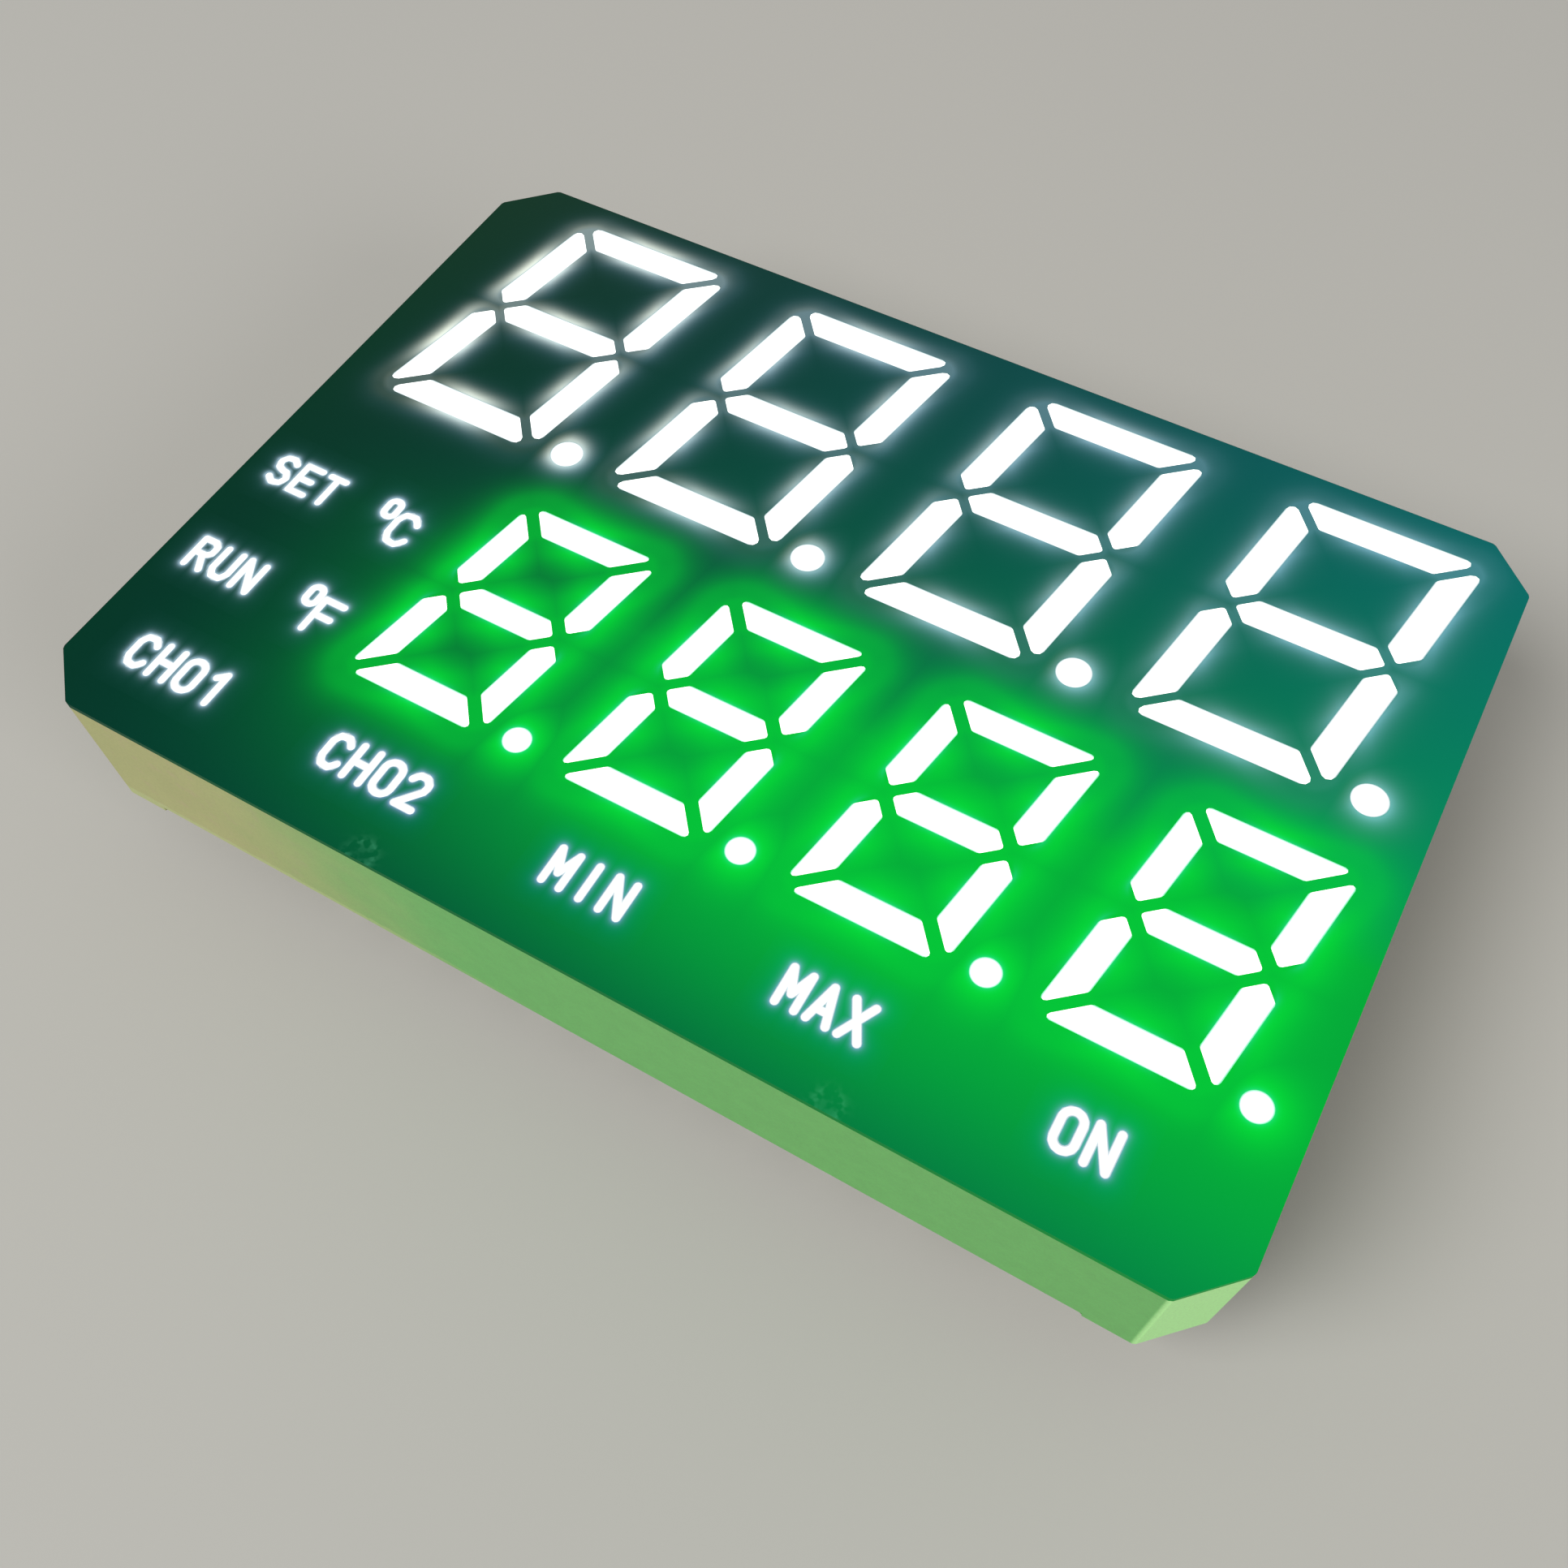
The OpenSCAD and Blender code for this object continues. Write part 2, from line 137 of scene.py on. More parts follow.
def place(tree):  # position on the part, in millimetres
    coordinates = tree.nodes.new("ShaderNodeTexCoord")
    scaled = vector(tree, "SCALE", coordinates.outputs["Object"])
    scaled.inputs["Scale"].default_value = 1 / mm
    split = tree.nodes.new("ShaderNodeSeparateXYZ")
    tree.links.new(scaled.outputs[0], split.inputs[0])
    return scaled.outputs[0], [Signal(tree, axis) for axis in split.outputs]


def noise(tree, position, scale, detail=2.0, stretch=(1, 1, 1)):  # scale: features per millimetre
    mapping = tree.nodes.new("ShaderNodeMapping")
    mapping.inputs["Scale"].default_value = [scale * s for s in stretch]
    tree.links.new(position, mapping.inputs["Vector"])
    node = tree.nodes.new("ShaderNodeTexNoise")
    node.inputs["Scale"].default_value = 1.0
    node.inputs["Detail"].default_value = detail
    tree.links.new(mapping.outputs[0], node.inputs["Vector"])
    return Signal(tree, node.outputs["Fac"])


def mix(factor, low, high):  # colours, plain or from another mix
    node = factor.tree.nodes.new("ShaderNodeMix")
    node.data_type = "RGBA"
    feed(factor.tree, factor, node.inputs[0])
    for slot, color in ((node.inputs[6], low), (node.inputs[7], high)):
        if isinstance(color, bpy.types.NodeSocket):
            factor.tree.links.new(color, slot)
        else:
            slot.default_value = (*color, 1.0)
    return node.outputs[2]


def addLight(color, signal, light):  # color + signal * light
    return vector(signal.tree, "MULTIPLY_ADD", signal, light, color).outputs[0]


def bump(tree, height, depth, shader):  # depth in millimetres
    node = tree.nodes.new("ShaderNodeBump")
    node.inputs["Distance"].default_value = depth * mm
    tree.links.new(height.socket, node.inputs["Height"])
    tree.links.new(node.outputs[0], shader.inputs["Normal"])


def newMaterial(name, **settings):
    material = bpy.data.materials.new(name)
    material.use_nodes = True
    material.cycles.emission_sampling = "NONE"
    tree = material.node_tree
    shader = tree.nodes["Principled BSDF"]
    for socket, value in settings.items():
        shader.inputs[socket.replace("_", " ")].default_value = value
    return material, tree, shader


# The lit digits and words, as distances across the face in millimetres

tallRow = {"first": (-13.35, 6.96), "pitch": 9.0, "height": 10.16, "width": 6.16, "bar": 1.06,
           "gap": 0.3, "point": (3.42, -4.64), "pointSize": 1.1}
shortRow = {"first": (-7.91, -4.05), "pitch": 7.5, "height": 8.0, "width": 4.96, "bar": 0.96,
            "gap": 0.38, "point": (2.91, -3.585), "pointSize": 0.9}
words = {"legend_set": "SET", "legend_run": "RUN", "legend_ch1": "CH01", "legend_ch2": "CH02",
         "legend_min": "MIN", "legend_max": "MAX", "legend_on": "ON"}
unitSigns = {"legend_celsius": "C", "legend_fahrenheit": "F"}
letterStyle = {"width": 0.86, "height": 1.38, "stroke": 0.28, "pitch": 0.93,
               "arcStep": 60, "arcSwell": 1.04}
unitStyle = {"width": 0.98, "height": 1.5, "place": (0.315, -0.145),
             "ringWidth": 0.68, "ringHeight": 0.96, "ringPlace": (-0.465, 0.415)}


def fromNearest(along, pitch):  # offset from the nearest of four places a pitch apart
    count = smaller(larger((along / pitch).math("ROUND"), 0.0), 3.0)
    return along - count * pitch


def digitDistance(x, y, row):  # nearest bar or point, and how far the next bar lies beyond it
    v = y - row["first"][1]
    u = abs(fromNearest(x - row["first"][0] - v * lean, row["pitch"]))
    half = row["bar"] / 2
    reachX = (row["width"] - row["bar"]) / 2
    reachY = (row["height"] - row["bar"]) / 2
    cut = row["gap"] * math.sqrt(0.5)
    mitre = cut - half * 0.25
    tip = cut + half
    w = abs(v)
    top = hypot(larger(u - (reachX - mitre), 0.0), w - reachY) - half
    side = hypot(u - reachX, larger(-w + tip, w - (reachY - mitre), 0.0)) - half
    middle = hypot(larger(u - (reachX - tip), 0.0), w) - half
    nearer = smaller(top, side)
    bars = smaller(nearer, middle)
    nextBar = smaller(larger(top, side), larger(nearer, middle))
    pointX = fromNearest(x - row["first"][0] - row["point"][0], row["pitch"])
    point = hypot(pointX, v - row["point"][1]) - row["pointSize"] / 2
    return smaller(bars, point), bars + nextBar


def arc(middle, radii, start, end):  # corner points, a little outside the true curve
    count = math.ceil(abs(end - start) / letterStyle["arcStep"])
    swell = letterStyle["arcSwell"]
    points = []
    for index in range(count + 1):
        turn = math.radians(start + (end - start) * index / count)
        points.append((middle[0] + swell * radii[0] * math.cos(turn),
                       middle[1] + swell * radii[1] * math.sin(turn)))
    return points


def penPaths(letter, x, y):  # x and y reach from the letter's middle to its outer pen lines
    stem = [(-x, -y), (-x, y)]
    bowl = [(-x, y)] + arc((0.35 * x, y / 2), (0.65 * x, y / 2), 90, -90) + [(-x, 0)]
    return {
        "S": [arc((0, y / 2), (x, y / 2), 25, 270) + arc((0, -y / 2), (x, y / 2), 60, -155)],
        "E": [[(x, y), (-x, y), (-x, -y), (x, -y)], [(-x, 0), (0.7 * x, 0)]],
        "F": [[(x, y), (-x, y), (-x, -y)], [(-x, 0), (0.7 * x, 0)]],
        "T": [[(-x, y), (x, y)], [(0, y), (0, -y)]],
        "R": [stem, [(0, 0), (x, -y)], bowl],
        "U": [[(-x, y)] + arc((0, x - y), (x, x), 180, 360) + [(x, y)]],
        "C": [arc((0, y - x), (x, x), 15, 180) + arc((0, x - y), (x, x), 180, 345)],
        "H": [stem, [(x, y), (x, -y)], [(-x, 0), (x, 0)]],
        "1": [[(0.3 * x, -y), (0.3 * x, y), (-0.6 * x, 0.6 * y)]],
        "2": [arc((0, y - x), (x, x), 165, -30) + [(-x, -y), (x, -y)]],
        "M": [[(-x, -y), (-x, y), (0, -0.3 * y), (x, y), (x, -y)]],
        "I": [[(0, y), (0, -y)]],
        "N": [[(-x, -y), (-x, y), (x, -y), (x, y)]],
        "A": [[(-x, -y), (0, y), (x, -y)], [(-0.65 * x, -0.35 * y), (0.65 * x, -0.35 * y)]],
        "X": [[(-x, -y), (x, y)], [(-x, y), (x, -y)]],
    }[letter]


def boxMiddle(name):
    low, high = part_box(name)
    return ((low + high) / 2 / mm).xy


def letterParts(letter, spot, width, height):  # pen lines of a letter, and upright rings for O and 0
    x = (width - letterStyle["stroke"]) / 2
    y = (height - letterStyle["stroke"]) / 2
    if letter in "O0":
        return [], [(spot, x, y - x)]
    lines = []
    for path in penPaths(letter, x, y):
        points = [spot + Vector(point) for point in path]
        lines.extend(zip(points, points[1:]))
    return lines, []


def wordParts(name):  # the pen lines and the rings of a legend
    style = letterStyle
    unit = unitStyle
    middle = boxMiddle(name)
    if name in unitSigns:  # the letter and its small degree ring
        spot = middle + Vector(unit["place"])
        ringSpot = middle + Vector(unit["ringPlace"])
        lines, rings = letterParts(unitSigns[name], spot, unit["width"], unit["height"])
        ring = letterParts("O", ringSpot, unit["ringWidth"], unit["ringHeight"])[1]
        return lines, rings + ring
    lines = []
    rings = []
    for index, letter in enumerate(words[name]):
        step = Vector(((index - (len(words[name]) - 1) / 2) * style["pitch"], 0))
        parts = letterParts(letter, middle + step, style["width"], style["height"])
        lines += parts[0]
        rings += parts[1]
    return lines, rings


def lineDistance(tree, spot, start, end):
    along = (end - start).to_3d()
    offset = vector(tree, "SUBTRACT", spot, start.to_3d()).outputs[0]
    product = vector(tree, "DOT_PRODUCT", offset, along / along.length_squared)
    share = Signal(tree, product.outputs["Value"]).math("MULTIPLY", 1.0)
    share.socket.node.use_clamp = True
    nearest = vector(tree, "SCALE", along)
    feed(tree, share, nearest.inputs["Scale"])
    return Signal(tree, vector(tree, "DISTANCE", offset, nearest.outputs[0]).outputs["Value"])


def makeWordGroup(name):  # distance to the nearest letter's edge, as a group that two materials share
    tree = bpy.data.node_groups.new(name, "ShaderNodeTree")
    for socket in ("x", "y"):
        tree.interface.new_socket(socket, in_out="INPUT", socket_type="NodeSocketFloat")
    tree.interface.new_socket("distance", in_out="OUTPUT", socket_type="NodeSocketFloat")
    entry = tree.nodes.new("NodeGroupInput")
    x, y = [Signal(tree, socket) for socket in entry.outputs[:2]]
    spot = tree.nodes.new("ShaderNodeCombineXYZ")
    feed(tree, x, spot.inputs[0])
    feed(tree, y, spot.inputs[1])
    lines, rings = wordParts(name)
    distances = [lineDistance(tree, spot.outputs[0], start, end) for start, end in lines]
    for middle, radius, straight in rings:
        outward = larger(abs(y - middle.y) - straight, 0.0)
        distances.append(abs(hypot(x - middle.x, outward) - radius))
    result = smaller(*distances) - letterStyle["stroke"] / 2
    feed(tree, result, tree.nodes.new("NodeGroupOutput").inputs[0])
    return tree


wordGroups = {name: makeWordGroup(name) for name in (*words, *unitSigns)}


def wordDistance(name, tree, x, y):
    node = tree.nodes.new("ShaderNodeGroup")
    node.node_tree = wordGroups[name]
    feed(tree, x, node.inputs[0])
    feed(tree, y, node.inputs[1])
    return Signal(tree, node.outputs[0])


# Front film: dark green, lit from within around every window. A halo is weaker in the gap between two
# bars: each Clear pair is the room to the next bar at which it starts to grow and is full.

filmLook = {
    "body": (0.0003, 0.004, 0.003), "palerBody": 1.6, "roughness": 0.42, "specular": 0.03,
    "grain": 9.0, "grainDepth": 0.002, "face": (0.02, 0.01),
    # painted light on the face: a glow all over, a reflection at the top, bluer light to the right and
    # top right, a side glow and a pool of light
    "glowVeil": (0.0, 0.031, 0.015), "topReflection": (0.007, 0.0, 0.0), "topReflectionFade": 0.8,
    "rightVeil": (0.0, 0.0, 0.046), "cornerVeil": (0.0, 0.0, 0.066),
    "sideGlow": (0.0, 0.26, 0.0), "sideReach": 17.0, "sideDrop": 1.6,
    "lightPool": (0.0, 0.39, 0.036), "poolTop": -2.7, "poolBottom": -8.5, "poolLength": (-18.5, 7.8),
    "poolFadeUp": 1.7, "poolFadeDown": 4.1, "poolPower": 2.0,
    "greenHalo": (0.0, 0.70, 0.034), "greenReach": 0.70, "greenPower": 1.35,
    "greenGap": 0.52, "greenClear": (0.38, 1.8),
    "fringe": (0.01, 0.04, 0.14), "fringeReach": 0.06, "fringeClear": (0.45, 1.1),
    "warm": {"light": (0.96, 0.93, 0.71), "shift": 0.05, "fading": 0.3,
             "reach": 0.21, "power": 1.4, "inGap": 0.27},
    "cool": {"light": (0.125, 0.24, 0.36), "shift": -0.05, "fading": 6.0,
             "reach": 0.25, "power": 1.0, "inGap": 0.5},
    "tallClear": (0.3, 2.2), "tallRise": (0.3, 1.1),
    "wordGlows": ((0.057, (0.265, 0.345, 0.44), (0.12, 0.085, 0.29)),  # reach, left and right colour
                  (0.22, (0.016, 0.05, 0.065), (0.0, 0.012, 0.12))),
    "wordSides": (0.05, 0.45), "wordRoom": 0.6,
    # painted light on the film's edges below the face, stronger to the right
    "rimGlowLeft": (0.0, 0.035, 0.02), "rimGlowRight": (0.0, 0.24, 0.03),
    "marks": ((-6.65, -12.85, 0.42), (8.1, -12.85, 0.38)), "markHighlight": (0.02, 0.09, 0.055),
    "markEdge": 0.09, "markFill": 0.25, "markSoftness": 0.1, "speckScale": 4.2, "speck": (0.42, 0.62),
}


def filmMaterial(name, word=None):
    look = filmLook
    material, tree, shader = newMaterial(name, Roughness=look["roughness"],
                                         Specular_IOR_Level=look["specular"])
    position, (x, y, z) = place(tree)
    low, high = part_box("face_film")
    across = (x - low.x / mm) / ((high.x - low.x) / mm)
    up = (y - low.y / mm) / ((high.y - low.y) / mm)
    above = larger(y - look["poolTop"], 0.0)
    below = larger(-y + look["poolBottom"], 0.0)

    # painted light over the face: a faint green glow all over, a painted reflection at the top that
    # fades to the right, bluer painted light to the right and at the top right corner, a painted glow
    # from the side and a painted pool of green light low down
    color = addLight(look["glowVeil"], up * up * (across * -look["topReflectionFade"] + 1.0), look["topReflection"])
    color = addLight(color, across, look["rightVeil"])
    color = addLight(color, across * across * up, look["cornerVeil"])
    side = across * across * fade(above + below * look["sideDrop"], look["sideReach"])
    color = addLight(color, side, look["sideGlow"])
    lightPool = fade(above, look["poolFadeUp"]) * roundFade(below, look["poolFadeDown"], look["poolPower"])
    color = mix(lightPool * ramp(x, *look["poolLength"]), color, look["lightPool"])

    distance, gap = digitDistance(x, y, shortRow)
    lit = ramp(gap, *look["greenClear"]) * (1 - look["greenGap"]) + look["greenGap"]
    halo = roundFade(distance, look["greenReach"], look["greenPower"])
    color = mix(halo * lit, color, look["greenHalo"])
    fringe = fade(distance, look["fringeReach"]) * ramp(gap, *look["fringeClear"])
    color = addLight(color, fringe, look["fringe"])

    for halo in (look["warm"], look["cool"]):
        distance, gap = digitDistance(x + halo["shift"], y - halo["shift"], tallRow)
        lit = ramp(gap, *look["tallClear"]) + ramp(up, *look["tallRise"]) * halo["inGap"]
        glow = roundFade(distance, halo["reach"], halo["power"]) * fade(across, halo["fading"])
        color = addLight(color, glow * smaller(lit, 1.0), halo["light"])
    if word:
        distance = wordDistance(word, tree, x, y)
        for reach, left, right in look["wordGlows"]:
            light = mix(ramp(across, *look["wordSides"]), left, right)
            color = addLight(color, fade(distance, reach), light)

    speck = ramp(noise(tree, position, look["speckScale"], 1.0), *look["speck"])
    for markX, markY, radius in look["marks"]:  # painted highlights: faint, mottled bright spots of a cause not known
        outside = hypot(x - markX, y - markY) - radius
        inside = ramp(-outside, 0.0, look["markSoftness"])
        spot = (fade(abs(outside), look["markEdge"]) + inside * look["markFill"]) * speck
        color = addLight(color, spot, look["markHighlight"])

    onFace = ramp(z, *(high.z / mm - depth for depth in look["face"]))
    # painted light: the film's edges below the face glow green, much more to the right
    rim = mix(across, look["rimGlowLeft"], look["rimGlowRight"])
    tree.links.new(mix(onFace, rim, color), shader.inputs["Emission Color"])
    shader.inputs["Emission Strength"].default_value = 1.0
    grain = noise(tree, position, look["grain"], 3.0)
    body = mix(grain, look["body"], [look["palerBody"] * c for c in look["body"]])
    tree.links.new(body, shader.inputs["Base Color"])
    bump(tree, grain, look["grainDepth"], shader)
    return material


# Light bars and words: milky resin with a bright core

lightLook = {"resin": (0.86, 0.88, 0.87), "shade": (0.24, 0.25, 0.25), "rim": 0.1,
             "roughness": 0.35, "specular": 0.4, "cloud": 1.6, "cloudLight": 0.2, "cloudDepth": 0.01,
             "core": (1.0, 1.0, 1.0), "tallEdge": (0.32, 0.44, 0.47),
             "shortEdge": (0.03, 0.66, 0.30), "wordEdge": (0.24, 0.34, 0.40)}


def lightMaterial(name, edge, row=None, word=None):
    look = lightLook
    material, tree, shader = newMaterial(name, Roughness=look["roughness"],
                                         Specular_IOR_Level=look["specular"])
    position, (x, y, z) = place(tree)
    distance = digitDistance(x, y, row)[0] if row else wordDistance(word, tree, x, y)
    depth = ramp(-distance, 0.0, look["rim"])
    cloud = noise(tree, position, look["cloud"], 3.0)
    tree.links.new(mix(depth, look["shade"], look["resin"]), shader.inputs["Base Color"])
    light = depth * (cloud * look["cloudLight"] + (1.0 - look["cloudLight"] / 2))
    tree.links.new(mix(light, edge, look["core"]), shader.inputs["Emission Color"])
    shader.inputs["Emission Strength"].default_value = 1.0
    bump(tree, cloud, look["cloudDepth"], shader)
    return material


# Case: cream moulded plastic that the green light reaches at the front, on the right

caseShape = {"cut": 1.5, "wall": 0.65, "footReach": 3.0, "footHeight": 0.2}
caseLook = {"cream": (0.43, 0.435, 0.18), "deeperCream": 0.86,
            "blush": (0.43, 0.36, 0.20), "blushShare": 0.5, "blushBand": (0.5, 0.75),
            "lit": (0.147, 0.475, 0.122), "deeperLit": 0.84, "litWander": 3.0,
            # corner: painted light, the green glow that the front right facet catches
            "litLength": (-12.5, -1.5), "litFront": (0.0, 9.0),
            "corner": (0.46, 0.90, 0.34), "cornerEdge": (0.14, 0.01),
            "stain": (0.48, 0.56, 0.25), "stainHeight": 0.42, "stainWander": 0.35, "stainShare": 0.5,
            "stainEdge": (0.1, 0.2), "stainLength": (0.0, 10.0),
            "dirt": (0.10, 0.12, 0.06), "dirtShare": 0.14, "dirtBand": (0.35, 0.8),
            "roughness": 0.5, "specular": 0.35,
            "broad": 0.5, "blotches": 2.2, "grain": 14.0, "grainDepth": 0.004}


def caseMaterial():
    look = caseLook
    material, tree, shader = newMaterial("casePlastic", Roughness=look["roughness"],
                                         Specular_IOR_Level=look["specular"])
    position, (x, y, z) = place(tree)
    low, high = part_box("case")
    broad = noise(tree, position, look["broad"], 3.0)
    blotches = noise(tree, position, look["blotches"], 4.0)
    grain = noise(tree, position, look["grain"], 4.0)
    cream = mix(broad, look["cream"], [look["deeperCream"] * c for c in look["cream"]])
    cream = mix(ramp(blotches, *look["blushBand"]) * look["blushShare"], cream, look["blush"])
    green = mix(blotches, look["lit"], [look["deeperLit"] * c for c in look["lit"]])
    lit = ramp(x + broad * look["litWander"], *look["litLength"]) * ramp(-y, *look["litFront"])
    color = mix(lit, cream, green)
    # painted light: the front right facet is painted bright green, as the green glow falls on it
    facet = (high.x - low.y) / mm - caseShape["cut"]
    color = mix(ramp(x - y, *(facet - inset for inset in look["cornerEdge"])), color, look["corner"])
    height = -z + blotches * look["stainWander"] + (low.z / mm + look["stainHeight"])
    stain = ramp(height, *look["stainEdge"]) * ramp(-x, *look["stainLength"])
    color = mix(stain * look["stainShare"], color, look["stain"])
    color = mix(ramp(grain, *look["dirtBand"]) * look["dirtShare"], color, look["dirt"])
    tree.links.new(color, shader.inputs["Base Color"])
    bump(tree, grain, look["grainDepth"], shader)
    return material


# Resin, board, metal and dies

pottingLook = {"pale": (0.62, 0.58, 0.42), "amber": (0.50, 0.45, 0.28), "lit": (0.22, 0.50, 0.17),
               "outerEdge": (-0.6, -0.5), "swirl": 0.35, "wave": 0.5, "waveDepth": 0.05,
               "roughness": 0.28, "coat": 0.3}


def resinMaterial():
    look = pottingLook
    material, tree, shader = newMaterial("pottingResin", Roughness=look["roughness"],
                                         Coat_Weight=look["coat"])
    position, (x, y, z) = place(tree)
    low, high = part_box("case")
    color = mix(noise(tree, position, look["swirl"], 4.0), look["pale"], look["amber"])
    outside = larger(abs(x) - high.x / mm, abs(y) - high.y / mm)
    lit = ramp(outside, *look["outerEdge"]) * ramp(x, *caseLook["litLength"])
    lit = lit * ramp(-y, *caseLook["litFront"])
    tree.links.new(mix(lit, color, look["lit"]), shader.inputs["Base Color"])
    bump(tree, noise(tree, position, look["wave"], 2.0), look["waveDepth"], shader)
    return material


boardLook = {"dark": (0.02, 0.16, 0.07), "pale": (0.03, 0.22, 0.10), "roughness": 0.4, "mottle": 3.0}


def boardMaterial():
    look = boardLook
    material, tree, shader = newMaterial("board", Roughness=look["roughness"])
    mottle = noise(tree, place(tree)[0], look["mottle"])
    tree.links.new(mix(mottle, look["dark"], look["pale"]), shader.inputs["Base Color"])
    return material


metalLook = {"streak": 6.0, "streakDepth": 0.01, "roughening": 0.25,
             "pinMetal": {"bright": (0.82, 0.80, 0.76), "dull": (0.62, 0.60, 0.56),
                          "roughness": 0.16, "stretch": (1, 1, 0.08)},
             "solderMetal": {"bright": (0.75, 0.76, 0.78), "dull": (0.55, 0.56, 0.58),
                             "roughness": 0.25, "stretch": (1, 1, 1)}}


def metalMaterial(name):
    look = metalLook[name]
    material, tree, shader = newMaterial(name, Metallic=1.0)
    streak = noise(tree, place(tree)[0], metalLook["streak"], 3.0, look["stretch"])
    tree.links.new(mix(streak, look["bright"], look["dull"]), shader.inputs["Base Color"])
    rough = streak * metalLook["roughening"] + look["roughness"]
    tree.links.new(rough.socket, shader.inputs["Roughness"])
    bump(tree, streak, metalLook["streakDepth"], shader)
    return material


dieLook = {"whiteDie": (0.9, 0.8, 0.3), "greenDie": (0.3, 0.8, 0.4), "deeper": 0.7, "mottle": 8.0,
           "roughness": 0.25}


def dieMaterial(name):
    look = dieLook
    material, tree, shader = newMaterial(name, Roughness=look["roughness"])
    mottle = noise(tree, place(tree)[0], look["mottle"])
    glow = mix(mottle, look[name], [look["deeper"] * c for c in look[name]])
    tree.links.new(glow, shader.inputs["Base Color"])
    tree.links.new(glow, shader.inputs["Emission Color"])
    shader.inputs["Emission Strength"].default_value = 1.0
    return material


slotMaterials = {
    "case_plastic": caseMaterial(),
    "face_film": filmMaterial("faceFilm"),
    "white_light_resin": lightMaterial("whiteLight", lightLook["tallEdge"], tallRow),
    "green_light_resin": lightMaterial("greenLight", lightLook["shortEdge"], shortRow),
    "white_die": dieMaterial("whiteDie"),
    "green_die": dieMaterial("greenDie"),
    "board": boardMaterial(),
    "potting_resin": resinMaterial(),
    "pin_metal": metalMaterial("pinMetal"),
    "solder_metal": metalMaterial("solderMetal"),
}
slots = {part["node"]: part["material_slot"] for part in frame["record"]["subparts"]}
for name, node in nodes.items():
    node.data.materials.clear()
    if name in wordGroups:
        node.data.materials.append(lightMaterial(name + "Light", lightLook["wordEdge"], word=name))
    else:
        node.data.materials.append(slotMaterials[slots[name]])
print("materials done")


def finishPiece(name, shape, slot, *materials):  # a shape becomes a piece that rides on the part
    bmesh.ops.recalc_face_normals(shape, faces=shape.faces)
    mesh = bpy.data.meshes.new(name)
    shape.to_mesh(mesh)
    shape.free()
    mesh.shade_smooth()
    mesh.set_sharp_from_angle(angle=math.radians(40))
    piece = bpy.data.objects.new(name, mesh)
    bpy.context.scene.collection.objects.link(piece)
    for material in materials or (slotMaterials[slot],):
        mesh.materials.append(material)
    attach(piece, "root")
    return piece


# Front film: the same shape, cut round each word, so that only there its glow is worked out

def facesInside(shape, low, high):  # faces that reach into a box across the face
    faces = []
    for face in shape.faces:
        xs = [vert.co.x for vert in face.verts]
        ys = [vert.co.y for vert in face.verts]
        if max(xs) > low.x and min(xs) < high.x and max(ys) > low.y and min(ys) < high.y:
            faces.append(face)
    return faces


def addFilm():
    room = Vector((filmLook["wordRoom"], filmLook["wordRoom"], 0)) * mm
    weld = 0.0001 * mm
    shape = bmesh.new()
    shape.from_mesh(nodes["face_film"].data)
    bmesh.ops.remove_doubles(shape, verts=shape.verts, dist=weld)
    materials = [slotMaterials["face_film"]]
    for name in wordGroups:
        low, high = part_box(name)
        low -= room
        high += room
        for spot, way in ((low, (1, 0, 0)), (high, (1, 0, 0)), (low, (0, 1, 0)), (high, (0, 1, 0))):
            faces = facesInside(shape, low, high)
            edges = {edge for face in faces for edge in face.edges}
            verts = {vert for face in faces for vert in face.verts}
            bmesh.ops.bisect_plane(shape, geom=[*verts, *edges, *faces], dist=weld,
                                   plane_co=spot, plane_no=way)
        for face in facesInside(shape, low, high):
            middle = face.calc_center_median()
            if low.x < middle.x < high.x and low.y < middle.y < high.y:
                face.material_index = len(materials)
        materials.append(filmMaterial(name + "Film", name))
    piece = finishPiece("frontFilm", shape, "face_film", *materials)
    piece.data.shade_flat()
    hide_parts("face_film")


# Pins: tinned rods with bevelled tips

pinLook = {"count": 9, "sides": 32, "tip": 0.09, "tipSteps": 3, "tipTouch": 0.01}


def pinPlaces(node):
    low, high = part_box(node)
    radius = (high.y - low.y) / 2
    pitch = (high.x - low.x - 2 * radius) / (pinLook["count"] - 1)
    middle = (low.y + high.y) / 2
    return [Vector((low.x + radius + index * pitch, middle, 0)) for index in range(pinLook["count"])]


def addPins(name, node):
    look = pinLook
    low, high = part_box(node)
    radius = (high.y - low.y) / 2
    shape = bmesh.new()
    for spot in pinPlaces(node):
        spot.z = (low.z + high.z) / 2
        bmesh.ops.create_cone(shape, cap_ends=True, segments=look["sides"], radius1=radius,
                              radius2=radius, depth=high.z - low.z, matrix=Matrix.Translation(spot))
    lowest = low.z + look["tipTouch"] * mm
    tips = [edge for edge in shape.edges if max(vert.co.z for vert in edge.verts) < lowest]
    bmesh.ops.bevel(shape, geom=tips, affect="EDGES", offset=look["tip"] * mm,
                    segments=look["tipSteps"], profile=0.5, material=-1)
    piece = finishPiece(name, shape, "pin_metal")
    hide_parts(node)


# Resin that climbed the pins and the wall before it set. Each piece sinks a little into its neighbour.

resinLook = {"seed": 3.7, "sink": 0.02}
collarLook = {"width": 0.5, "height": 0.24, "sides": 28, "curve": 2.4, "onPin": 0.98,
              "widthChange": 0.3, "heightChange": 0.35, "steps": (0.0, 0.12, 0.3, 0.55, 0.8, 1.0)}


def roll(value, scale, offset):  # smooth unevenness from -1 to 1 along a line
    return unevenness.noise(Vector((value * scale, offset, resinLook["seed"])))


